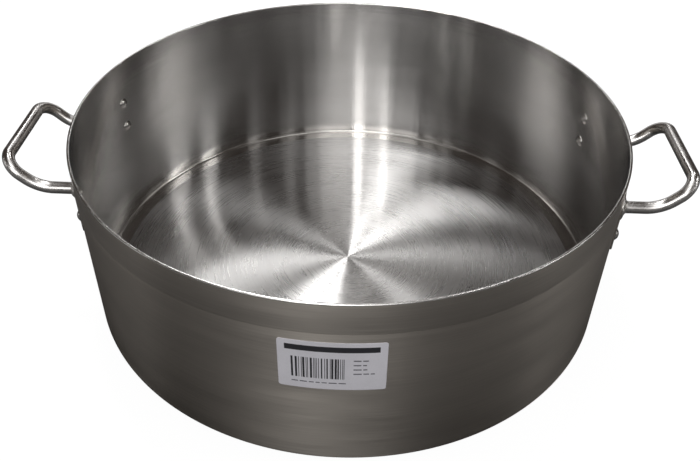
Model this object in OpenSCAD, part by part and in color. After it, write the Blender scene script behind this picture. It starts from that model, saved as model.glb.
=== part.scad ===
// Wide, shallow brewing kettle: a seamless steel pot with a sandwich base,
// and two fixed loop handles welded to riveted brackets.
// Origin at the centre of the base face, +Z up, handles on the X axis.

/* [Pot] */
// Outer diameter over the rim band
pot_d = 450; // [360:1:600]
// Overall height, base face to rim
pot_h = 163.5; // [120:0.5:320]
// Thickness of the side wall below the rim band
wall_t = 1.8; // [1:0.1:3]
// Thickness of the pot's floor
floor_t = 1.8; // [1:0.1:3]
// Outer radius of the corner between wall and floor
corner_r = 4.5; // [3.5:0.5:12]
// Height of the polished band under the rim
band_h = 25.5; // [10:0.5:28]
// How far the band stands proud of the wall below it
band_step = 0.3; // [0.1:0.1:1]
// Radius on the two edges of the rim
rim_round = 0.8; // [0.2:0.1:1]

/* [Base] */
// Thickness of the aluminium core
core_t = 5.2; // [3:0.1:10]
// Thickness of the steel cap that encloses the core
cap_t = 1; // [0.5:0.1:2]
// How far the base is set in from the wall's outer face
base_inset = 10; // [6:0.5:30]
// Outer radius on the cap's lower edge
cap_corner_r = 2.5; // [1:0.1:4]

/* [Handles] */
// Diameter of the handle rod
rod_d = 10; // [8:0.5:14]
// Centre distance of a handle's two legs
leg_spacing = 97.6; // [80:0.5:140]
// Depth of the legs' centre line below the rim
leg_depth = 50; // [46:0.5:70]
// Level run of a leg from the wall to the corner point of its bend
leg_run = 29; // [26:0.5:45]
// Reach of the grip's centre line from the wall
grip_reach = 53; // [48:0.5:80]
// Rise of the grip's centre line above the legs
grip_rise = 22.8; // [12:0.2:30]
// Centre-line radius where a leg bends upward
bend_r = 32; // [20:0.5:34]
// Centre-line radius at each end of the grip
grip_corner_r = 16; // [10:0.5:18]

/* [Brackets] */
// Sheet thickness of a bracket
plate_t = 1.5; // [1:0.1:2.5]
// Height of a bracket
plate_h = 50; // [38:0.5:60]
// Radius on a bracket's corners
plate_corner_r = 8; // [3:0.5:12]
// Diameter of the pressed boss at its foot
boss_foot_d = 29; // [24:0.5:34]
// Diameter of the boss's flat top
boss_top_d = 17; // [15:0.5:20]
// Height of the boss above the bracket's sheet
boss_h = 3; // [1.5:0.1:5]
// Sheet left beside the boss's foot
boss_margin = 2; // [1:0.5:6]
// Leg of the weld bead, along the rod
weld_h = 2.2; // [1:0.1:3]
// Leg of the weld bead, on the boss
weld_w = 2.4; // [1:0.1:2.8]

/* [Rivets] */
// Distance along the wall from a leg to its rivets
rivet_offset = 22; // [20:0.5:30]
// Vertical distance between a bracket's two rivets
rivet_pitch = 23.6; // [16:0.2:30]
// Diameter of a rivet's shank
rivet_d = 5; // [4:0.1:7]
// Diameter of a rivet's heads
rivet_head_d = 10; // [9:0.1:13]
// Height of the outer and the inner head
rivet_head_h = 2.6; // [1.5:0.1:4]
// Radial clearance of the shank in its holes
rivet_clearance = 0.05; // [0:0.01:0.2]
// Sheet from the rivets' centre line to the bracket's outer edge
rivet_edge = 9; // [8:0.5:14]

/* [Label] */
// Width of the sticker along the wall
label_w = 72; // [30:1:120]
// Height of the sticker
label_h = 45; // [20:1:60]
// Depth of the sticker's centre below the rim
label_depth = 56.2; // [50:0.2:80]
// Shift of the sticker towards +X from the middle of the front
label_shift = -3; // [-60:1:60]
// Thickness of the sticker
label_t = 0.15; // [0.1:0.05:0.3]
// Radius on the sticker's corners
label_corner_r = 2; // [1:0.5:6]

/* [Hidden] */
$fn = 96;
STEEL = [0.50, 0.48, 0.45];
POLISHED = [0.72, 0.70, 0.67];
ALUMINIUM = [0.74, 0.75, 0.76];
PAPER = [0.78, 0.76, 0.80];
band_r = pot_d / 2;
wall_r = band_r - band_step;
inner_r = wall_r - wall_t;
inner_corner_r = max(corner_r - wall_t, 0.5);
shell_z = core_t + cap_t;
floor_z = shell_z + floor_t;
band_z = pot_h - band_h;
rod_r = rod_d / 2;
// Straight stretches are a hair thinner than the bends and run into them
seam_step = 0.01;
seam_overlap = 0.2;
straight_r = rod_r - seam_step;
leg_y = leg_spacing / 2;
leg_z = pot_h - leg_depth;
bend_x = wall_r + leg_run;
grip_x = wall_r + grip_reach;
slope = atan2(grip_rise, grip_x - bend_x);
slope_len = norm([grip_x - bend_x, grip_rise]);
bend_tangent = bend_r * tan(slope / 2);
plate_r = wall_r + plate_t;
boss_top_x = plate_r + boss_h;
leg_angle = asin(leg_y / boss_top_x);
arc_to_angle = 180 / (PI * wall_r);
rivet_angle = leg_angle + rivet_offset * arc_to_angle;
rivet_r = rivet_d / 2;
rivet_hole_r = rivet_r + rivet_clearance;
plate_inboard = boss_foot_d / 2 + boss_margin;
plate_outboard = rivet_offset + rivet_edge;
plate_w = plate_inboard + plate_outboard;
plate_angle = leg_angle + (plate_outboard - plate_inboard) / 2 * arc_to_angle;
cut_depth = 20;
past = 1;
ARC_STEPS = 8;
SIDES = [1, -1];

// Points of an arc round a centre, both ends included
function arc(centre, r, from, to, steps = ARC_STEPS) =
    [for (i = [0 : steps])
        let (a = from + (to - from) * i / steps)
        centre + r * [cos(a), sin(a)]];

// A rectangle with round corners, centred
module rounded_rect(w, h, r) {
    square([w - 2 * r, h], center = true);
    square([w, h - 2 * r], center = true);
    for (x = SIDES, y = SIDES)
        translate([x * (w / 2 - r), y * (h / 2 - r)]) circle(r = r);
}

// A prism with a rounded outline that stands out along +X at a radius
module outline_along_x(w, h, r, radius, z) {
    translate([radius - cut_depth / 2, 0, z])
        rotate([90, 0, 90])
            linear_extrude(cut_depth) rounded_rect(w, h, r);
}

// Carries a piece made for the rear of the right handle to another corner
module at_corner(x_side, y_side) {
    mirror([x_side < 0 ? 1 : 0, 0, 0])
        mirror([0, y_side < 0 ? 1 : 0, 0])
            children();
}

// Places children on the two rivet axes of the rear right bracket, along +X
module at_rivets() {
    for (s = SIDES)
        rotate([0, 0, rivet_angle])
            translate([0, 0, leg_z + s * rivet_pitch / 2])
                children();
}

module rivet_holes() {
    at_rivets()
        translate([inner_r - past, 0, 0])
            rotate([0, 90, 0])
                cylinder(r = rivet_hole_r, h = boss_top_x - inner_r + past);
}

module body_shell() {
    profile = concat(
        [[0, shell_z]],
        arc([wall_r - corner_r, shell_z + corner_r], corner_r, -90, 0),
        [[wall_r, band_z - band_step], [band_r, band_z]],
        arc([band_r - rim_round, pot_h - rim_round], rim_round, 0, 90, 4),
        arc([inner_r + rim_round, pot_h - rim_round], rim_round, 90, 180, 4),
        arc([inner_r - inner_corner_r, floor_z + inner_corner_r],
            inner_corner_r, 0, -90),
        [[0, floor_z]]);
    color(STEEL)
        difference() {
            rotate_extrude() polygon(profile);
            for (x = SIDES, y = SIDES)
                at_corner(x, y) rivet_holes();
        }
}

module base_core() {
    color(ALUMINIUM)
        translate([0, 0, cap_t])
            cylinder(r = wall_r - base_inset - cap_t, h = core_t);
}

module base_cap() {
    cap_r = wall_r - base_inset;
    inside_r = max(cap_corner_r - cap_t, 0.2);
    profile = concat(
        [[0, 0]],
        arc([cap_r - cap_corner_r, cap_corner_r], cap_corner_r, -90, 0),
        [[cap_r, shell_z], [cap_r - cap_t, shell_z],
         [cap_r - cap_t, cap_t], [0, cap_t]]);
    color(STEEL) rotate_extrude() polygon(profile);
}

module label_sticker() {
    color(PAPER)
        difference() {
            intersection() {
                cylinder(r = wall_r + label_t, h = pot_h);
                rotate([0, 0, -90 + label_shift * arc_to_angle])
                    outline_along_x(label_w, label_h, label_corner_r,
                                    wall_r, pot_h - label_depth);
            }
            translate([0, 0, -past]) cylinder(r = wall_r, h = pot_h + 2 * past);
        }
}

// Everything on the pot's side of the boss's flat top
module behind_boss_top() {
    rotate([0, 0, leg_angle])
        translate([boss_top_x - cut_depth, -cut_depth / 2, leg_z - cut_depth / 2])
            cube(cut_depth);
}

// One leg of the right handle: level run, then the bend upward
module leg() {
    run_end = bend_x - bend_tangent;
    run_start = boss_top_x - cut_depth;
    translate([run_start, leg_y, leg_z])
        rotate([0, 90, 0])
            cylinder(r = straight_r, h = run_end - run_start + seam_overlap);
    translate([run_end, leg_y, leg_z + bend_r])
        rotate([90, 0, 0])
            rotate([0, 0, -90])
                rotate_extrude(angle = slope)
                    translate([bend_r, 0]) circle(r = rod_r);
}

// The sloping part of the right handle, drawn flat: its rear side
module loop_side() {
    corner_x = slope_len - grip_corner_r;
    corner_y = leg_y - grip_corner_r;
    translate([bend_tangent - seam_overlap, leg_y, 0])
        rotate([0, 90, 0])
            cylinder(r = straight_r, h = corner_x - bend_tangent + 2 * seam_overlap);
    translate([corner_x, corner_y, 0])
        rotate_extrude(angle = 90) translate([grip_corner_r, 0]) circle(r = rod_r);
}

// The straight bar between the two sides of the loop, in the same flat frame
module grip() {
    half_len = leg_y - grip_corner_r + seam_overlap;
    translate([slope_len, -half_len, 0])
        rotate([-90, 0, 0]) cylinder(r = straight_r, h = 2 * half_len);
}

module handle() {
    color(POLISHED)
        difference() {
            union() {
                for (y = SIDES)
                    at_corner(1, y) leg();
                translate([bend_x, 0, leg_z])
                    rotate([0, -slope, 0]) {
                        for (y = SIDES)
                            at_corner(1, y) loop_side();
                        grip();
                    }
            }
            for (y = SIDES)
                at_corner(1, y) behind_boss_top();
        }
}

// The boss as a cone along +X, lowered towards the wall by a distance
module boss_cone(lower) {
    foot_x = sqrt(pow(plate_r, 2) - pow(boss_foot_d / 2, 2));
    spread = (boss_foot_d - boss_top_d) / 2 / (boss_top_x - foot_x);
    root = plate_t + past;
    rotate([0, 0, leg_angle])
        translate([foot_x - root - lower, 0, leg_z])
            rotate([0, 90, 0])
                cylinder(r1 = boss_foot_d / 2 + spread * root, r2 = boss_top_d / 2,
                         h = boss_top_x - foot_x + root);
}

module bracket() {
    color(POLISHED)
        difference() {
            intersection() {
                union() {
                    cylinder(r = plate_r, h = pot_h);
                    boss_cone(0);
                }
                rotate([0, 0, plate_angle])
                    outline_along_x(plate_w, plate_h, plate_corner_r, wall_r, leg_z);
            }
            translate([0, 0, -past]) cylinder(r = wall_r, h = pot_h + 2 * past);
            boss_cone(plate_t);
            rivet_holes();
        }
}

module weld_bead() {
    color(STEEL)
        difference() {
            rotate([0, 0, leg_angle])
                translate([boss_top_x, 0, leg_z])
                    rotate([0, 90, 0])
                        cylinder(r1 = rod_r + weld_w, r2 = rod_r + weld_w / 4, h = weld_h);
            translate([boss_top_x - cut_depth, leg_y, leg_z])
                rotate([0, 90, 0]) cylinder(r = straight_r, h = 2 * cut_depth);
        }
}

// A rivet along +X through the wall and the bracket, with a domed head each side
module rivet() {
    dome_r = (pow(rivet_head_d / 2, 2) + pow(rivet_head_h, 2)) / (2 * rivet_head_h);
    translate([inner_r - rivet_head_h / 2, 0, 0])
        rotate([0, 90, 0])
            cylinder(r = rivet_r, h = plate_r - inner_r + rivet_head_h);
    difference() {
        translate([plate_r + rivet_head_h - dome_r, 0, 0]) sphere(r = dome_r);
        cylinder(r = plate_r, h = 4 * dome_r, center = true);
    }
    intersection() {
        translate([inner_r - rivet_head_h + dome_r, 0, 0]) sphere(r = dome_r);
        cylinder(r = inner_r, h = 4 * dome_r, center = true);
    }
}

module rivet_pair() {
    color(POLISHED) at_rivets() rivet();
}

body_shell();
base_core();
base_cap();
label_sticker();
at_corner(-1, 1) handle();  // left_handle
handle();  // right_handle
at_corner(-1, -1) bracket();  // left_front_bracket
at_corner(-1, 1) bracket();  // left_rear_bracket
at_corner(1, -1) bracket();  // right_front_bracket
bracket();  // right_rear_bracket
at_corner(-1, -1) weld_bead();  // left_front_weld
at_corner(-1, 1) weld_bead();  // left_rear_weld
at_corner(1, -1) weld_bead();  // right_front_weld
weld_bead();  // right_rear_weld
at_corner(-1, -1) rivet_pair();  // left_front_rivets
at_corner(-1, 1) rivet_pair();  // left_rear_rivets
at_corner(1, -1) rivet_pair();  // right_front_rivets
rivet_pair();  // right_rear_rivets
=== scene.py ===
"""Looks of the wide steel brew kettle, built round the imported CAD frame. Metres, +Z up."""

import math
import random

import bpy
from mathutils import Matrix, Vector


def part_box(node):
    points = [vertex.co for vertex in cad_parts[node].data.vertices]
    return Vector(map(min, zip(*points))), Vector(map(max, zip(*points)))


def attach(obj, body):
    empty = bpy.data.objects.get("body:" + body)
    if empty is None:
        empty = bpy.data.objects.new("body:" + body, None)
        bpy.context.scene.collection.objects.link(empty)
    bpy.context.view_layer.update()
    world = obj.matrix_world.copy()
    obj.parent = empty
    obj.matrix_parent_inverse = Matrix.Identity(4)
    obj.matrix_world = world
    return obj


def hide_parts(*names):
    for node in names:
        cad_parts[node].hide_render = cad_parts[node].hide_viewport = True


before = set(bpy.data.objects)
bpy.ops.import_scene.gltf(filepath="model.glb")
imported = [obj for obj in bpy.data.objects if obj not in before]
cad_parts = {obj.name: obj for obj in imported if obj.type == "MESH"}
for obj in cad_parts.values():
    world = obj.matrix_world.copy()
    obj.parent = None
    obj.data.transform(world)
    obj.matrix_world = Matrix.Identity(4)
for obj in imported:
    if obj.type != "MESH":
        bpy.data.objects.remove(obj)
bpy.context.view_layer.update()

MM = 0.001
BODY = "root"
BAKE_UV = "OFBake"

# ---- Sizes: the frame gives the outline, the rest repeats the part's own dimensions ----
shell_low, shell_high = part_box("body_shell")
BAND_R = shell_high.x
SHELL_Z = shell_low.z
RIM_Z = shell_high.z
BAND_STEP = 0.3 * MM
BAND_H = 25.5 * MM
# The band's lower edge, as (inset from the band's face, depth below the step) in millimetres
BAND_EDGE = ((0, -0.3), (0.04, -0.1), (0.14, 0.1))
BAND_FOOT = 0.35 * MM
WALL_START = 1 * MM
UNDERSIDE_R = 200 * MM
WALL_T = 1.8 * MM
FLOOR_T = 1.8 * MM
CORNER_R = 4.5 * MM
RIM_ROUND = 0.8 * MM
WALL_R = BAND_R - BAND_STEP
INNER_R = WALL_R - WALL_T
FLOOR_Z = SHELL_Z + FLOOR_T
BAND_Z = RIM_Z - BAND_H

ROD_R = 5 * MM
LEG_Y = 48.8 * MM
LEG_Z = RIM_Z - 50 * MM
LEG_SUNK = 2 * MM
LEG_RUN = 29 * MM
GRIP_REACH = 53 * MM
GRIP_RISE = 22.8 * MM
BEND_R = 32 * MM
GRIP_CORNER_R = 16 * MM

PLATE_T = 1.5 * MM
PLATE_H = 50 * MM
PLATE_CORNER_R = 8 * MM
PLATE_EDGE = 0.5 * MM
PLATE_SUNK = 0.1 * MM
BOSS_FOOT_R = 14.5 * MM
BOSS_TOP_R = 8.5 * MM
BOSS_H = 3 * MM
BOSS_MARGIN = 2 * MM
WELD_H = 2.2 * MM
WELD_W = 2.4 * MM
WELD_SUNK = 0.3 * MM

RIVET_OFFSET = 22 * MM
RIVET_PITCH = 23.6 * MM
RIVET_R = 2.5 * MM
RIVET_HEAD_R = 5 * MM
RIVET_HEAD_H = 2.6 * MM
RIVET_EDGE = 9 * MM
RIVET_SUNK = 0.1 * MM

LABEL_W = 72 * MM
LABEL_H = 45 * MM
LABEL_DEPTH = 56.2 * MM
LABEL_SHIFT = -3 * MM
LABEL_T = 0.15 * MM
LABEL_SUNK = 0.05 * MM
LABEL_CORNER_R = 2 * MM

BOSS_TOP_X = WALL_R + PLATE_T + BOSS_H
LEG_ANGLE = math.asin(LEG_Y / BOSS_TOP_X)
RIVET_ANGLE = LEG_ANGLE + RIVET_OFFSET / WALL_R
CORNERS = {
    "left_front": (-1, -1),
    "left_rear": (-1, 1),
    "right_front": (1, -1),
    "right_rear": (1, 1),
}


# ---- Camera ----
def make_camera():
    """The photograph's viewpoint: in front of the kettle, looking down into it."""
    azimuth = math.radians(1.53)
    distance = 568.6 * MM
    height = SHELL_Z + 493.4 * MM
    pitch = math.radians(38.98)
    yaw = math.radians(0.15)
    roll = math.radians(1.155)
    data = bpy.data.cameras.new("camera")
    data.sensor_width = 36
    data.lens = 40.82
    data.clip_start = 0.01
    data.clip_end = 100
    camera = bpy.data.objects.new("camera", data)
    bpy.context.scene.collection.objects.link(camera)
    turn = Matrix.Rotation(azimuth, 3, "Z")
    forward = Vector(
        (math.sin(yaw) * math.cos(pitch), math.cos(yaw) * math.cos(pitch), -math.sin(pitch))
    )
    level = forward.cross(Vector((0, 0, 1))).normalized()
    above = level.cross(forward)
    right = level * math.cos(roll) + above * math.sin(roll)
    up = above * math.cos(roll) - level * math.sin(roll)
    axes = Matrix((right, up, -forward)).transposed()
    camera.matrix_world = Matrix.Translation(turn @ Vector((0, -distance, height))) @ (
        turn @ axes
    ).to_4x4()
    bpy.context.scene.camera = camera


# ---- Mesh helpers ----
NEAR_ZERO = 1e-7


def make_object(name, verts, faces, uvs=None, slots=None, materials=()):
    """A smooth-shaded mesh object. uvs holds one pair per face corner, slots one index per face."""
    mesh = bpy.data.meshes.new(name)
    mesh.from_pydata([tuple(v) for v in verts], [], faces)
    for material in materials:
        mesh.materials.append(material)
    mesh.polygons.foreach_set("use_smooth", [True] * len(mesh.polygons))
    if slots is not None:
        mesh.polygons.foreach_set("material_index", slots)
    if uvs is not None:
        layer = mesh.uv_layers.new(name=BAKE_UV)
        layer.data.foreach_set("uv", [c for uv in uvs for c in uv])
    mesh.validate()
    mesh.update()
    obj = bpy.data.objects.new(name, mesh)
    bpy.context.scene.collection.objects.link(obj)
    return obj


def lathe(name, profile, segments, materials, slot_of=None):
    """Turns (radius, height) points round +Z. The first and last points may lie on the axis.

    U runs along the profile and V round the axis, so a brushing direction can follow either.
    """
    lengths = [0.0]
    for a, b in zip(profile, profile[1:]):
        lengths.append(lengths[-1] + math.hypot(b[0] - a[0], b[1] - a[1]))
    total = lengths[-1]
    verts = []
    ring_start = []
    on_axis = []
    for r, z in profile:
        ring_start.append(len(verts))
        on_axis.append(r < NEAR_ZERO)
        if r < NEAR_ZERO:
            verts.append((0, 0, z))
        else:
            for k in range(segments):
                a = math.tau * k / segments
                verts.append((r * math.cos(a), r * math.sin(a), z))
    faces = []
    uvs = []
    slots = []
    for i in range(len(profile) - 1):
        u0 = lengths[i] / total
        u1 = lengths[i + 1] / total
        for k in range(segments):
            v0 = k / segments
            v1 = (k + 1) / segments
            n = (k + 1) % segments
            if on_axis[i]:
                faces.append((ring_start[i], ring_start[i + 1] + k, ring_start[i + 1] + n))
                uvs += [(u0, (v0 + v1) / 2), (u1, v0), (u1, v1)]
            elif on_axis[i + 1]:
                faces.append((ring_start[i] + k, ring_start[i + 1], ring_start[i] + n))
                uvs += [(u0, v0), (u1, (v0 + v1) / 2), (u0, v1)]
            else:
                here = ring_start[i]
                after = ring_start[i + 1]
                faces.append((here + k, after + k, after + n, here + n))
                uvs += [(u0, v0), (u1, v0), (u1, v1), (u0, v1)]
            slots.append(slot_of(i) if slot_of else 0)
    return make_object(name, verts, faces, uvs, slots, materials)


def arc(cx, cy, r, start, end, steps):
    """Points on an arc, angles in degrees, both ends included."""
    points = []
    for i in range(steps + 1):
        a = math.radians(start + (end - start) * i / steps)
        points.append((cx + r * math.cos(a), cy + r * math.sin(a)))
    return points


def join(name, parts):
    """Several objects as one, keeping their materials and UVs."""
    with bpy.context.temp_override(
        active_object=parts[0], selected_objects=parts, selected_editable_objects=parts
    ):
        bpy.ops.object.join()
    parts[0].name = name
    return parts[0]


# ---- Materials ----
class Nodes:
    """Short spelling for building a node tree."""

    def __init__(self, name):
        self.material = bpy.data.materials.new(name)
        self.material.use_nodes = True
        self.tree = self.material.node_tree
        self.shader = self.tree.nodes["Principled BSDF"]

    def add(self, kind, **settings):
        node = self.tree.nodes.new(kind)
        for key, value in settings.items():
            setattr(node, key, value)
        return node

    def link(self, source, target):
        self.tree.links.new(source, target)

    def math(self, operation, a, b=None):
        node = self.add("ShaderNodeMath", operation=operation)
        for i, value in enumerate((a, b)):
            if value is None:
                continue
            if isinstance(value, (int, float)):
                node.inputs[i].default_value = value
            else:
                self.link(value, node.inputs[i])
        return node.outputs[0]

    def noise(self, vector, scale, detail=2, roughness=0.5):
        node = self.add("ShaderNodeTexNoise")
        node.inputs["Scale"].default_value = scale
        node.inputs["Detail"].default_value = detail
        node.inputs["Roughness"].default_value = roughness
        self.link(vector, node.inputs["Vector"])
        return node.outputs["Fac"]

    def span(self, value, low, high, to_low, to_high):
        node = self.add("ShaderNodeMapRange")
        for key, number in zip(
            ("From Min", "From Max", "To Min", "To Max"), (low, high, to_low, to_high)
        ):
            node.inputs[key].default_value = number
        self.link(value, node.inputs["Value"])
        return node.outputs["Result"]

    def mix_colour(self, fac, a, b):
        node = self.add("ShaderNodeMix", data_type="RGBA")
        self.link(fac, node.inputs["Factor"])
        node.inputs["A"].default_value = (*a, 1)
        node.inputs["B"].default_value = (*b, 1)
        return node.outputs["Result"]

    def turned(self, around, along):
        """Coordinates for marks that run round the pot's axis: (cos, sin) * around, (r + z) * along."""
        place = self.add("ShaderNodeTexCoord").outputs["Object"]
        parts = self.add("ShaderNodeSeparateXYZ")
        self.link(place, parts.inputs[0])
        x, y, z = parts.outputs
        squares = self.math("ADD", self.math("MULTIPLY", x, x), self.math("MULTIPLY", y, y))
        r = self.math("SQRT", squares)
        r_safe = self.math("MAXIMUM", r, 0.01 * MM)
        vector = self.add("ShaderNodeCombineXYZ")
        for i, side in enumerate((x, y)):
            share = self.math("DIVIDE", side, r_safe)
            self.link(self.math("MULTIPLY", share, around), vector.inputs[i])
        self.link(self.math("MULTIPLY", self.math("ADD", r, z), along), vector.inputs[2])
        return vector.outputs[0]


# Marks in brushed steel, as scales (round the axis, along the profile) for Nodes.turned
GROOVES = (5, 9000)
FLUTES = (80, 0.5)
FINE_BRUSHING = (3, 1300)
BROAD_BRUSHING = (2, 60)
FINE_SHARE = 0.6
BRUSHING_SHADE = 0.86
POLISH_CLOUDS = 90
POLISH_SHADE = 0.95
# Noise values spread round 0.5. These are the limits that a span stretches to its own range
WIDE_NOISE = (0.2, 0.8)
NOISE = (0.3, 0.7)
SHARP_NOISE = (0.35, 0.65)


def brushed_steel(name, tint, rough, aniso, grain=0.03, groove=0.05, flutes=0.004):
    """Steel brushed round the pot's axis: the highlight spreads along the profile.

    The shader's own anisotropy gives part of the spread, and fine grooves tilt the normal for the
    rest. Shallow flutes across the brushing break the highlights into finer streaks.
    """
    n = Nodes(name)
    s = n.shader.inputs
    s["Metallic"].default_value = 1
    s["Anisotropic"].default_value = aniso
    tangent = n.add("ShaderNodeTangent", direction_type="UV_MAP", uv_map=BAKE_UV).outputs[0]
    n.link(tangent, s["Tangent"])
    rub = n.noise(n.turned(*GROOVES), 1, detail=1)
    tilt = n.span(rub, *WIDE_NOISE, -2 * groove, 2 * groove)
    lean = n.add("ShaderNodeVectorMath", operation="SCALE")
    n.link(tangent, lean.inputs["Vector"])
    n.link(tilt, lean.inputs["Scale"])
    face = n.add("ShaderNodeNewGeometry").outputs["Normal"]
    across = n.add("ShaderNodeVectorMath", operation="CROSS_PRODUCT")
    n.link(face, across.inputs[0])
    n.link(tangent, across.inputs[1])
    wave = n.noise(n.turned(*FLUTES), 1, detail=4, roughness=0.7)
    sway = n.add("ShaderNodeVectorMath", operation="SCALE")
    n.link(across.outputs["Vector"], sway.inputs["Vector"])
    n.link(n.span(wave, *WIDE_NOISE, -2 * flutes, 2 * flutes), sway.inputs["Scale"])
    tilted = n.add("ShaderNodeVectorMath", operation="ADD")
    n.link(face, tilted.inputs[0])
    n.link(sway.outputs["Vector"], tilted.inputs[1])
    normal = n.add("ShaderNodeVectorMath", operation="ADD")
    n.link(tilted.outputs["Vector"], normal.inputs[0])
    n.link(lean.outputs["Vector"], normal.inputs[1])
    unit = n.add("ShaderNodeVectorMath", operation="NORMALIZE")
    n.link(normal.outputs["Vector"], unit.inputs[0])
    n.link(unit.outputs["Vector"], s["Normal"])
    fine = n.noise(n.turned(*FINE_BRUSHING), 1, detail=3)
    broad = n.noise(n.turned(*BROAD_BRUSHING), 1, detail=2)
    fine_part = n.math("MULTIPLY", fine, FINE_SHARE)
    broad_part = n.math("MULTIPLY", broad, 1 - FINE_SHARE)
    both = n.math("ADD", fine_part, broad_part)
    n.link(n.span(both, *NOISE, rough - grain, rough + grain), s["Roughness"])
    dark = [c * BRUSHING_SHADE for c in tint]
    n.link(n.mix_colour(n.span(both, *SHARP_NOISE, 0, 1), dark, tint), s["Base Color"])
    return n.material


def polished_steel(name, tint, rough):
    """Smooth metal whose gloss and colour vary in soft clouds."""
    n = Nodes(name)
    s = n.shader.inputs
    s["Metallic"].default_value = 1
    place = n.add("ShaderNodeTexCoord").outputs["Object"]
    cloud = n.noise(place, POLISH_CLOUDS, detail=3)
    n.link(n.span(cloud, *NOISE, rough * 0.7, rough * 1.4), s["Roughness"])
    dark = [c * POLISH_SHADE for c in tint]
    n.link(n.mix_colour(cloud, dark, tint), s["Base Color"])
    return n.material


STEEL_TINT = (0.62, 0.572, 0.515)
INNER_TINT = (0.60, 0.59, 0.58)
POLISHED_TINT = (0.68, 0.66, 0.63)
RIM_TINT = (0.8, 0.79, 0.77)
HANDLE_TINT = (0.76, 0.74, 0.72)
ALUMINIUM_TINT = (0.66, 0.66, 0.67)
floor_steel = brushed_steel("floor_steel", INNER_TINT, 0.28, 1.0, groove=0.03, flutes=0.003)
inner_steel = brushed_steel("inner_wall_steel", INNER_TINT, 0.18, 1.0, groove=0.04, flutes=0.009)
outer_steel = brushed_steel("outer_wall_steel", STEEL_TINT, 0.36, 0.9)
band_steel = brushed_steel("rim_band_steel", STEEL_TINT, 0.33, 0.9)
corner_steel = brushed_steel("inner_corner_steel", POLISHED_TINT, 0.16, 0.7, groove=0.03)
rim_steel = polished_steel("rim_edge_steel", RIM_TINT, 0.2)
handle_steel = polished_steel("handle_steel", HANDLE_TINT, 0.24)
bracket_steel = polished_steel("bracket_steel", POLISHED_TINT, 0.2)
rivet_steel = polished_steel("rivet_steel", POLISHED_TINT, 0.08)
weld_steel = polished_steel("weld_steel", POLISHED_TINT, 0.25)
cap_steel = polished_steel("cap_steel", STEEL_TINT, 0.35)
core_aluminium = polished_steel("core_aluminium", ALUMINIUM_TINT, 0.45)


# ---- The shell ----
def shell_stretches():
    """The shell's outline as stretches: a material's index and its (radius, height) points."""
    floor, corner, inside, rim, band, outside = range(6)
    inner_corner = CORNER_R - WALL_T
    corner_top = FLOOR_Z + inner_corner
    rim_foot = RIM_Z - RIM_ROUND
    wall_top = BAND_Z - WALL_START
    wall_foot = SHELL_Z + CORNER_R
    wall_steps = 8
    floor_radii = [r * MM for r in (0, 0.5, 2, 5, 10)]
    floor_radii += [r * MM for r in range(20, 220, 10)]

    def rise(low, high, t):
        return low + (high - low) * t / wall_steps

    return [
        (floor, [(r, FLOOR_Z) for r in floor_radii]),
        (corner, arc(INNER_R - inner_corner, corner_top, inner_corner, -90, 0, 12)),
        (inside, [(INNER_R, rise(corner_top, rim_foot, t)) for t in range(wall_steps + 1)]),
        (rim, arc(INNER_R + RIM_ROUND, rim_foot, RIM_ROUND, 180, 90, 6)),
        (rim, arc(BAND_R - RIM_ROUND, rim_foot, RIM_ROUND, 90, 0, 6)),
        (band, [(BAND_R - inset * MM, BAND_Z - depth * MM) for inset, depth in BAND_EDGE]),
        (outside, [(WALL_R, BAND_Z - BAND_FOOT)]),
        (outside, [(WALL_R, rise(wall_foot, wall_top, t)) for t in range(wall_steps, -1, -1)]),
        (outside, arc(WALL_R - CORNER_R, wall_foot, CORNER_R, 0, -90, 12)),
        (outside, [(UNDERSIDE_R, SHELL_Z), (0, SHELL_Z)]),
    ]


def make_shell():
    """The deep-drawn shell, turned from one closed outline. A segment has its end's material."""
    profile = []
    kinds = []
    for kind, points in shell_stretches():
        for p in points:
            if profile and math.dist(p, profile[-1]) < NEAR_ZERO:
                continue
            if profile:
                kinds.append(kind)
            profile.append(p)
    shell = lathe(
        "kettle_shell",
        profile,
        384,
        [floor_steel, corner_steel, inner_steel, rim_steel, band_steel, outer_steel],
        lambda i: kinds[i],
    )
    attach(shell, BODY)
    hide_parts("body_shell")


# ---- The handles ----
def handle_path():
    """Centre line of the right handle from the rear boss to the front one, with its directions."""
    bend_x = WALL_R + LEG_RUN
    slope = math.atan2(GRIP_RISE, GRIP_REACH - LEG_RUN)
    slope_len = math.hypot(GRIP_RISE, GRIP_REACH - LEG_RUN)
    tangent = BEND_R * math.tan(slope / 2)
    start_x = BOSS_TOP_X * math.cos(LEG_ANGLE) - LEG_SUNK
    half = []
    steps = 6
    for i in range(steps + 1):
        x = start_x + (bend_x - tangent - start_x) * i / steps
        half.append((Vector((x, LEG_Y, LEG_Z)), Vector((1, 0, 0))))
    bend_steps = 16
    for i in range(1, bend_steps + 1):
        a = slope * i / bend_steps
        place = Vector(
            (bend_x - tangent + BEND_R * math.sin(a), LEG_Y, LEG_Z + BEND_R * (1 - math.cos(a)))
        )
        half.append((place, Vector((math.cos(a), 0, math.sin(a)))))
    up_slope = Vector((math.cos(slope), 0, math.sin(slope)))
    corner_steps = 20
    for i in range(corner_steps + 1):
        a = math.pi / 2 * i / corner_steps
        along = slope_len - GRIP_CORNER_R + GRIP_CORNER_R * math.sin(a)
        y = LEG_Y - GRIP_CORNER_R + GRIP_CORNER_R * math.cos(a)
        place = Vector((bend_x, 0, LEG_Z)) + up_slope * along + Vector((0, y, 0))
        half.append((place, up_slope * math.cos(a) + Vector((0, -math.sin(a), 0))))
    for t in (0.6, 0.2):
        place = Vector((bend_x, (LEG_Y - GRIP_CORNER_R) * t, LEG_Z)) + up_slope * slope_len
        half.append((place, Vector((0, -1, 0))))
    other = []
    for place, direction in reversed(half):
        across = Vector((-direction.x, direction.y, -direction.z))
        other.append((Vector((place.x, -place.y, place.z)), across))
    return half + other


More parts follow.
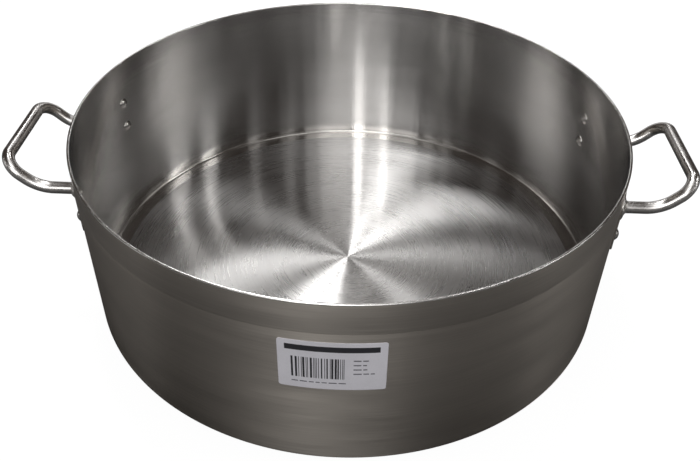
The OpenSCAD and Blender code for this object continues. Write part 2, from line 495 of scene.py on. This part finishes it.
def sweep(name, path, radius, sides, material):
    """A round rod along (place, direction) stations, with U along it and V round it."""
    verts = []
    lengths = [0.0]
    normal = Vector((0, 0, 1))
    for i, (place, direction) in enumerate(path):
        if i:
            lengths.append(lengths[-1] + (place - path[i - 1][0]).length)
        normal = (normal - direction * normal.dot(direction)).normalized()
        side = direction.cross(normal)
        for k in range(sides):
            a = math.tau * k / sides
            verts.append(place + radius * (normal * math.cos(a) + side * math.sin(a)))
    faces = []
    uvs = []
    total = lengths[-1]
    for i in range(len(path) - 1):
        u0 = lengths[i] / total
        u1 = lengths[i + 1] / total
        here = i * sides
        after = here + sides
        for k in range(sides):
            n = (k + 1) % sides
            v0 = k / sides
            v1 = (k + 1) / sides
            faces.append((here + k, here + n, after + n, after + k))
            uvs += [(u0, v0), (u0, v1), (u1, v1), (u1, v0)]
    last = (len(path) - 1) * sides
    faces.append(tuple(reversed(range(sides))))
    faces.append(tuple(last + k for k in range(sides)))
    uvs += [(0, 0)] * sides + [(1, 1)] * sides
    return make_object(name, verts, faces, uvs, None, [material])


def mirrored(obj, x_side, y_side):
    """Turns a piece made for the right rear into the one for another corner."""
    if x_side < 0 or y_side < 0:
        obj.data.transform(Matrix.Diagonal((x_side, y_side, 1, 1)))
        if x_side * y_side < 0:
            obj.data.flip_normals()
    return obj


def make_handles():
    """The two bent rods."""
    for side, x_side in (("left", -1), ("right", 1)):
        rod = sweep(f"{side}_handle_rod", handle_path(), ROD_R, 40, handle_steel)
        mirrored(rod, x_side, 1)
        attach(rod, BODY)
        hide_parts(f"{side}_handle")


# ---- Brackets, welds and rivets, made for the right rear and mirrored ----
def on_wall(s, z, height):
    """A point at arc length s beyond the leg, at level z, standing off the wall."""
    a = LEG_ANGLE + s / WALL_R
    r = WALL_R + height
    return Vector((r * math.cos(a), r * math.sin(a), z))


def outline_distance(a):
    """Distance from the boss's centre to the bracket's rounded outline, in direction a."""
    inboard = BOSS_FOOT_R + BOSS_MARGIN
    outboard = RIVET_OFFSET + RIVET_EDGE

    def inside(d):
        x = d * math.cos(a)
        y = abs(d * math.sin(a))
        if x < -inboard or x > outboard or y > PLATE_H / 2:
            return False
        reach = inboard if x < 0 else outboard
        dx = abs(x) - (reach - PLATE_CORNER_R)
        dy = y - (PLATE_H / 2 - PLATE_CORNER_R)
        return not (dx > 0 and dy > 0 and math.hypot(dx, dy) > PLATE_CORNER_R)

    low = 0.0
    high = 100 * MM
    for _ in range(30):
        middle = (low + high) / 2
        if inside(middle):
            low = middle
        else:
            high = middle
    return low


def boss_height(d, s):
    """Height of the bracket's face above the wall at a distance from the boss's centre."""
    flat = BOSS_TOP_X / math.cos(s / WALL_R) - WALL_R
    t = (d - BOSS_TOP_R) / (BOSS_FOOT_R - BOSS_TOP_R)
    t = min(max(t, 0), 1)
    ease = t * t * (3 - 2 * t)
    return flat * (1 - ease) + PLATE_T * ease


def make_bracket(name):
    """The pressed plate: a round boss that eases into a flat foot with rounded corners."""
    sides = 128
    boss_rings = 16
    reach = [outline_distance(math.tau * k / sides) for k in range(sides)]
    verts = [on_wall(0, LEG_Z, boss_height(0, 0))]
    rings = 0

    def add_ring(distances, height_of):
        """One ring of points, whose height depends on distance d and on place s along the wall."""
        nonlocal rings
        for k, d in enumerate(distances):
            a = math.tau * k / sides
            s = d * math.cos(a)
            verts.append(on_wall(s, LEG_Z + d * math.sin(a), height_of(d, s)))
        rings += 1

    for i in range(1, boss_rings + 1):
        add_ring([BOSS_FOOT_R * i / boss_rings] * sides, boss_height)
    for t in (0.25, 0.5, 0.75, 1):
        flat = [BOSS_FOOT_R + (r - PLATE_EDGE - BOSS_FOOT_R) * t for r in reach]
        add_ring(flat, lambda d, s: PLATE_T)
    for degrees in (22.5, 45, 67.5, 90):
        turn = math.radians(degrees)
        height = PLATE_T - PLATE_EDGE * (1 - math.cos(turn))
        rounded = [r - PLATE_EDGE + PLATE_EDGE * math.sin(turn) for r in reach]
        add_ring(rounded, lambda d, s, height=height: height)
    add_ring(reach, lambda d, s: -PLATE_SUNK)
    verts.append(on_wall(0, LEG_Z, -PLATE_SUNK))
    faces = []
    for k in range(sides):
        n = (k + 1) % sides
        faces.append((0, 1 + k, 1 + n))
        for i in range(rings - 1):
            here = 1 + i * sides
            after = here + sides
            faces.append((here + k, after + k, after + n, here + n))
        last = 1 + (rings - 1) * sides
        faces.append((last + n, last + k, len(verts) - 1))
    return make_object(name, verts, faces, None, None, [bracket_steel])


def make_weld(name):
    """A rippled bead round the rod where it meets the boss."""
    turns = 160
    across = 8
    ripples = 20
    ripple_height = 0.09
    unevenness = 0.04
    hollow = 1.35
    c = math.cos(LEG_ANGLE)
    s = math.sin(LEG_ANGLE)
    verts = []
    for k in range(turns):
        a = math.tau * k / turns
        out = Vector((0, math.cos(a), math.sin(a)))
        axis_point = Vector((0, LEG_Y, LEG_Z)) + out * ROD_R
        x = (BOSS_TOP_X - s * axis_point.y) / c
        foot = Vector((x, axis_point.y, axis_point.z))
        spread = Vector((-s / c * out.y, out.y, out.z)).normalized()
        phase = (a * ripples / math.tau) % 1
        swell = 1 + ripple_height * math.sin(math.pi * phase) + unevenness * math.sin(3 * a + 1)
        for j in range(across + 1):
            t = j / across
            rise = WELD_H * swell * (1 - t) ** hollow
            width = WELD_W * swell * t**hollow
            verts.append(foot + Vector((rise, 0, 0)) + spread * width)
        verts.append(foot - Vector((WELD_SUNK, 0, 0)) - out * WELD_SUNK)
    row = across + 2
    faces = []
    for k in range(turns):
        n = (k + 1) % turns
        for j in range(row):
            m = (j + 1) % row
            faces.append((k * row + j, k * row + m, n * row + m, n * row + j))
    return make_object(name, verts, faces, None, None, [weld_steel])


def rivet_profile():
    """(radius, place along the rivet) from the outer head's crown to the inner head's."""
    dome_r = (RIVET_HEAD_R**2 + RIVET_HEAD_H**2) / (2 * RIVET_HEAD_H)
    spread = math.degrees(math.asin(RIVET_HEAD_R / dome_r))
    plate_r = WALL_R + PLATE_T
    outer = arc(0, plate_r + RIVET_HEAD_H - dome_r, dome_r, 90, 90 - spread, 10)
    inner = arc(0, INNER_R - RIVET_HEAD_H + dome_r, dome_r, spread - 90, -90, 10)
    middle = [
        (RIVET_HEAD_R, plate_r - RIVET_SUNK),
        (RIVET_R, plate_r - RIVET_SUNK),
        (RIVET_R, INNER_R + RIVET_SUNK),
        (RIVET_HEAD_R, INNER_R + RIVET_SUNK),
    ]
    return outer + middle + inner


def make_rivets(name):
    """A bracket's two rivets, one above the other, as one piece."""
    pair = []
    for s in (1, -1):
        rivet = lathe(f"{name}_{s}", rivet_profile(), 40, [rivet_steel])
        aim = Matrix.Rotation(RIVET_ANGLE, 4, "Z") @ Matrix.Rotation(math.pi / 2, 4, "Y")
        rivet.data.transform(Matrix.Translation((0, 0, LEG_Z + s * RIVET_PITCH / 2)) @ aim)
        pair.append(rivet)
    return join(name, pair)


def make_fittings():
    """The bracket, weld and rivets of each of the four handle legs."""
    for corner, (x_side, y_side) in CORNERS.items():
        bracket = make_bracket(f"{corner}_bracket_plate")
        weld = make_weld(f"{corner}_weld_bead")
        rivets = make_rivets(f"{corner}_rivet_pair")
        for piece, node, slot in (
            (bracket, "bracket", "bracket_steel"),
            (weld, "weld", "weld_steel"),
            (rivets, "rivets", "rivet_steel"),
        ):
            mirrored(piece, x_side, y_side)
            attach(piece, BODY)
            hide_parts(f"{corner}_{node}")


# ---- The label: paper with a plain generic print, every printed patch a face of the mesh ----
FIBRE_SCALE = 1400
PAPER_CLOUDS = 60
PAPER_SHADE = 0.9
PAPER_GRAIN = 0.06
FIBRE_STRENGTH = 0.15
FIBRE_HEIGHT = 0.05 * MM


def paper_stock(name, colour, rough):
    """Paper or ink on paper, with fine fibres in its relief, gloss and colour."""
    n = Nodes(name)
    s = n.shader.inputs
    place = n.add("ShaderNodeTexCoord").outputs["Object"]
    fibre = n.noise(place, FIBRE_SCALE, detail=3)
    cloud = n.noise(place, PAPER_CLOUDS, detail=2)
    both = n.math("ADD", n.math("MULTIPLY", fibre, 0.5), n.math("MULTIPLY", cloud, 0.5))
    dark = [c * PAPER_SHADE for c in colour]
    n.link(n.mix_colour(n.span(both, *SHARP_NOISE, 0, 1), dark, colour), s["Base Color"])
    n.link(n.span(fibre, *NOISE, rough - PAPER_GRAIN, rough + PAPER_GRAIN), s["Roughness"])
    bump = n.add("ShaderNodeBump")
    bump.inputs["Strength"].default_value = FIBRE_STRENGTH
    bump.inputs["Distance"].default_value = FIBRE_HEIGHT
    n.link(fibre, bump.inputs["Height"])
    n.link(bump.outputs[0], s["Normal"])
    return n.material


paper = paper_stock("label_paper", (0.74, 0.73, 0.78), 0.5)
dark_ink = paper_stock("label_dark_ink", (0.03, 0.03, 0.035), 0.4)
grey_ink = paper_stock("label_grey_ink", (0.16, 0.16, 0.18), 0.45)


PAPER, DARK_INK, GREY_INK = range(3)


def label_print():
    """Rectangles (left, right, low, high, ink) in metres from the label's centre."""
    draw = random.Random(11)
    print_edge = 31 * MM
    header_low = 13.5 * MM
    header_high = 18.5 * MM
    marks = [(-print_edge, print_edge, header_low, header_high, DARK_INK)]

    bars_low = -12 * MM
    bars_high = 7.5 * MM
    bars_end = 9 * MM
    print_start = -27 * MM
    x = print_start
    while x < bars_end:
        bar = draw.choice((0.45, 0.45, 0.9, 1.35)) * MM
        marks.append((x, x + bar, bars_low, bars_high, DARK_INK))
        x += bar + draw.choice((0.45, 0.9, 0.9, 1.35)) * MM

    # Words are plain dashes, in rows beside the bars and in one row below them
    shortest = 2.5
    longest = 5.5
    rows_top = 5.4 * MM
    row_pitch = 4.2 * MM
    word_height = 1.1 * MM
    word_gap = 1.1 * MM
    for row in range(4):
        z = rows_top - row * row_pitch
        start = 14 * MM
        for _ in range(draw.randint(2, 3)):
            width = draw.uniform(shortest, longest) * MM
            if start + width > print_edge:
                break
            marks.append((start, start + width, z, z + word_height, GREY_INK))
            start += width + word_gap

    foot_low = -16.6 * MM
    foot_high = -15.6 * MM
    foot_gap = 1.2 * MM
    start = print_start
    for _ in range(7):
        width = draw.uniform(shortest, longest) * MM
        marks.append((start, start + width, foot_low, foot_high, GREY_INK))
        start += width + foot_gap
    return marks


def make_label():
    """A thin sheet on the wall, cut into faces along every printed edge."""
    marks = label_print()
    half_w = LABEL_W / 2
    half_h = LABEL_H / 2
    columns = 24
    xs = {-half_w, half_w}
    zs = {-half_h, half_h}
    for left, right, low, high, ink in marks:
        xs |= {left, right}
        zs |= {low, high}
    corner_steps = 6
    for i in range(1, corner_steps + 1):
        step = LABEL_CORNER_R * i / corner_steps
        xs |= {step - half_w, half_w - step}
        zs |= {step - half_h, half_h - step}
    xs |= {-half_w + LABEL_W * i / columns for i in range(columns + 1)}
    xs = sorted({round(v, 6) for v in xs})
    zs = sorted({round(v, 6) for v in zs})

    def rounded(x, z):
        """Moves a point of a corner's square onto the matching point of its quarter disc."""
        u = (abs(x) - half_w + LABEL_CORNER_R) / LABEL_CORNER_R
        v = (abs(z) - half_h + LABEL_CORNER_R) / LABEL_CORNER_R
        if u <= 0 or v <= 0:
            return x, z
        shrink = max(u, v) / math.hypot(u, v)
        x_new = math.copysign(half_w - LABEL_CORNER_R + u * shrink * LABEL_CORNER_R, x)
        z_new = math.copysign(half_h - LABEL_CORNER_R + v * shrink * LABEL_CORNER_R, z)
        return x_new, z_new

    middle_z = RIM_Z - LABEL_DEPTH

    def place(x, z, height):
        a = -math.pi / 2 + (x + LABEL_SHIFT) / WALL_R
        r = WALL_R + height
        return (r * math.cos(a), r * math.sin(a), middle_z + z)

    verts = [place(*rounded(x, z), LABEL_T) for z in zs for x in xs]
    faces = []
    slots = []
    uvs = []
    wide = len(xs)
    for i in range(len(zs) - 1):
        for j in range(wide - 1):
            x = (xs[j] + xs[j + 1]) / 2
            z = (zs[i] + zs[i + 1]) / 2
            ink = PAPER
            for left, right, low, high, kind in marks:
                if left < x < right and low < z < high:
                    ink = kind
            here = i * wide + j
            faces.append((here, here + 1, here + wide + 1, here + wide))
            slots.append(ink)
            uvs += [
                ((xs[k] + half_w) / LABEL_W, (zs[m] + half_h) / LABEL_H)
                for k, m in ((j, i), (j + 1, i), (j + 1, i + 1), (j, i + 1))
            ]
    edge = list(range(wide))
    edge += [i * wide + wide - 1 for i in range(1, len(zs))]
    edge += [(len(zs) - 1) * wide + j for j in range(wide - 2, -1, -1)]
    edge += [i * wide for i in range(len(zs) - 2, 0, -1)]
    low_start = len(verts)
    for k in edge:
        i, j = divmod(k, wide)
        verts.append(place(*rounded(xs[j], zs[i]), -LABEL_SUNK))
    for k in range(len(edge)):
        n = (k + 1) % len(edge)
        faces.append((edge[n], edge[k], low_start + k, low_start + n))
        slots.append(PAPER)
        uvs += [(0, 0)] * 4
    label = make_object("sticker", verts, faces, uvs, slots, [paper, dark_ink, grey_ink])
    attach(label, BODY)
    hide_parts("label_sticker")


# ---- CAD nodes that stay: the sandwich base ----
def dress_base():
    """The base's cap and core keep their CAD shapes and get materials of their own."""
    for node, material in (("base_cap", cap_steel), ("base_core", core_aluminium)):
        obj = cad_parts[node]
        obj.data.materials.clear()
        obj.data.materials.append(material)


# ---- Stage and light ----
STAGE_SIZE = 6.0
STAGE_GLOW = 0.97
# What the steel sees of the floor: a painted contact shadow, dark within the first radius, and its full
# grey past the second
STAGE_SHADOW_GREY = 0.03
STAGE_GREY = 0.2
STAGE_SHADOW_RADII = (0.2, 0.6)
WORLD_FILL = 0.045
ROOM_TINT = (1, 0.8, 0.7)
PANEL_DISTANCE = 3.0
POT_MIDDLE = Vector((0, 0, 0.12))

# Softboxes as the pot sees them, in degrees: azimuth from +X towards +Y, width, elevation, height, and
# then brightness. Azimuth 270 is behind the camera and 90 beyond the pot. Lights beyond the pot make
# the fan on its floor, and those behind the camera and beside it make the streaks on its wall.
PANELS = {
    "fan_high": (117, 4, 73, 8, 60),
    "fan_middle": (105, 6, 53, 8, 21),
    "fan_low": (105, 7, 39, 6, 7.5),
    "fan_left": (83, 9, 29, 9, 2),
    "fan_right": (67, 5, 53, 8, 9),
    "fan_centre": (89, 5, 40, 5, 2),
    "rear_fill": (265, 20, 65, 16, 3.5),
    "overhead": (270, 40, 86, 30, 0.8),
    "streak_centre": (267, 3.5, 34, 32, 9),
    "streak_beside": (253, 2.5, 30, 36, 7),
    "streak_joining": (259, 8, 23, 30, 3),
    "broad_glow": (279, 13, 28, 30, 2.2),
    "broad_edge": (290, 8, 30, 36, 1.0),
    "warm_patch": (243, 12, 24, 28, 2.0),
    "thin_right_inner": (229, 4, 26, 36, 1.0),
    "thin_right_outer": (220, 3, 26, 32, 0.9),
    "thin_left_inner": (304, 4, 30, 40, 0.7),
    "thin_left_middle": (323, 3, 26, 34, 1.3),
    "thin_left_outer": (337, 3, 14, 14, 2.2),
    "left_streak_inner": (350, 3, 29, 26, 7),
    "left_streak_outer": (10, 2.5, 33, 22, 9),
    "right_streak": (178, 3, 17, 18, 1.1),
    "right_glow": (195, 9, 16, 22, 0.9),
    "behind_soft": (90, 60, 8, 14, 0.7),
    "left_soft": (190, 26, 5, 9, 0.7),
    "right_soft": (350, 26, 5, 9, 0.7),
}


def make_stage():
    """A white floor to the camera and a grey one in reflections, so the steel keeps its depth. Its grey
    darkens towards the pot as a painted contact shadow.
    """
    bpy.context.scene.view_settings.view_transform = "Standard"
    bpy.context.scene.view_settings.look = "None"
    n = Nodes("pale_floor")
    tree = n.tree
    output = tree.nodes["Material Output"]
    distance = n.add("ShaderNodeVectorMath", operation="LENGTH")
    n.link(n.add("ShaderNodeTexCoord").outputs["Object"], distance.inputs[0])
    # Painted contact shadow: the floor's grey is darker near the pot, seen mostly in the steel's
    # reflections
    contact_shadow = n.span(distance.outputs["Value"], *STAGE_SHADOW_RADII, 0, 1)
    grey = n.mix_colour(contact_shadow, (STAGE_SHADOW_GREY,) * 3, (STAGE_GREY,) * 3)
    n.link(grey, n.shader.inputs["Base Color"])
    n.shader.inputs["Roughness"].default_value = 1
    n.shader.inputs["Specular IOR Level"].default_value = 0
    glow = n.add("ShaderNodeEmission")
    glow.inputs["Strength"].default_value = STAGE_GLOW
    both = n.add("ShaderNodeAddShader")
    n.link(n.shader.outputs[0], both.inputs[0])
    n.link(glow.outputs[0], both.inputs[1])
    choose = n.add("ShaderNodeMixShader")
    n.link(n.add("ShaderNodeLightPath").outputs["Is Camera Ray"], choose.inputs[0])
    n.link(n.shader.outputs[0], choose.inputs[1])
    n.link(both.outputs[0], choose.inputs[2])
    n.link(choose.outputs[0], output.inputs["Surface"])
    far = STAGE_SIZE
    corners = [(-far, -far, 0), (far, -far, 0), (far, far, 0), (-far, far, 0)]
    make_object("stage_floor", corners, [(0, 1, 2, 3)], None, None, [n.material])


def make_world():
    """White behind the object, and a dim warm fill for everything else."""
    world = bpy.data.worlds.new("studio")
    bpy.context.scene.world = world
    world.use_nodes = True
    tree = world.node_tree
    background = tree.nodes["Background"]
    path = tree.nodes.new("ShaderNodeLightPath")
    colour = tree.nodes.new("ShaderNodeMix")
    colour.data_type = "RGBA"
    colour.inputs["A"].default_value = (*ROOM_TINT, 1)
    colour.inputs["B"].default_value = (1, 1, 1, 1)
    tree.links.new(path.outputs["Is Camera Ray"], colour.inputs["Factor"])
    tree.links.new(colour.outputs["Result"], background.inputs["Color"])
    strength = tree.nodes.new("ShaderNodeMapRange")
    strength.inputs["To Min"].default_value = WORLD_FILL
    strength.inputs["To Max"].default_value = 1
    tree.links.new(path.outputs["Is Camera Ray"], strength.inputs["Value"])
    tree.links.new(strength.outputs["Result"], background.inputs["Strength"])


def make_panel(name, azimuth, width, elevation, height, brightness):
    """A rectangular area light facing the pot, hidden from the camera."""
    data = bpy.data.lights.new(name, "AREA")
    data.shape = "RECTANGLE"
    data.size = 2 * PANEL_DISTANCE * math.tan(math.radians(width) / 2)
    data.size_y = 2 * PANEL_DISTANCE * math.tan(math.radians(height) / 2)
    data.energy = brightness * math.pi * data.size * data.size_y
    light = bpy.data.objects.new(name, data)
    bpy.context.scene.collection.objects.link(light)
    a = math.radians(azimuth)
    e = math.radians(elevation)
    away = Vector((math.cos(e) * math.cos(a), math.cos(e) * math.sin(a), math.sin(e)))
    light.location = POT_MIDDLE + PANEL_DISTANCE * away
    light.rotation_euler = away.to_track_quat("Z", "Y").to_euler()
    light.visible_camera = False


def make_lights():
    """The world's fill and every softbox."""
    make_world()
    for name, values in PANELS.items():
        make_panel(name, *values)


make_camera()
make_shell()
make_handles()
make_fittings()
make_label()
dress_base()
make_stage()
make_lights()
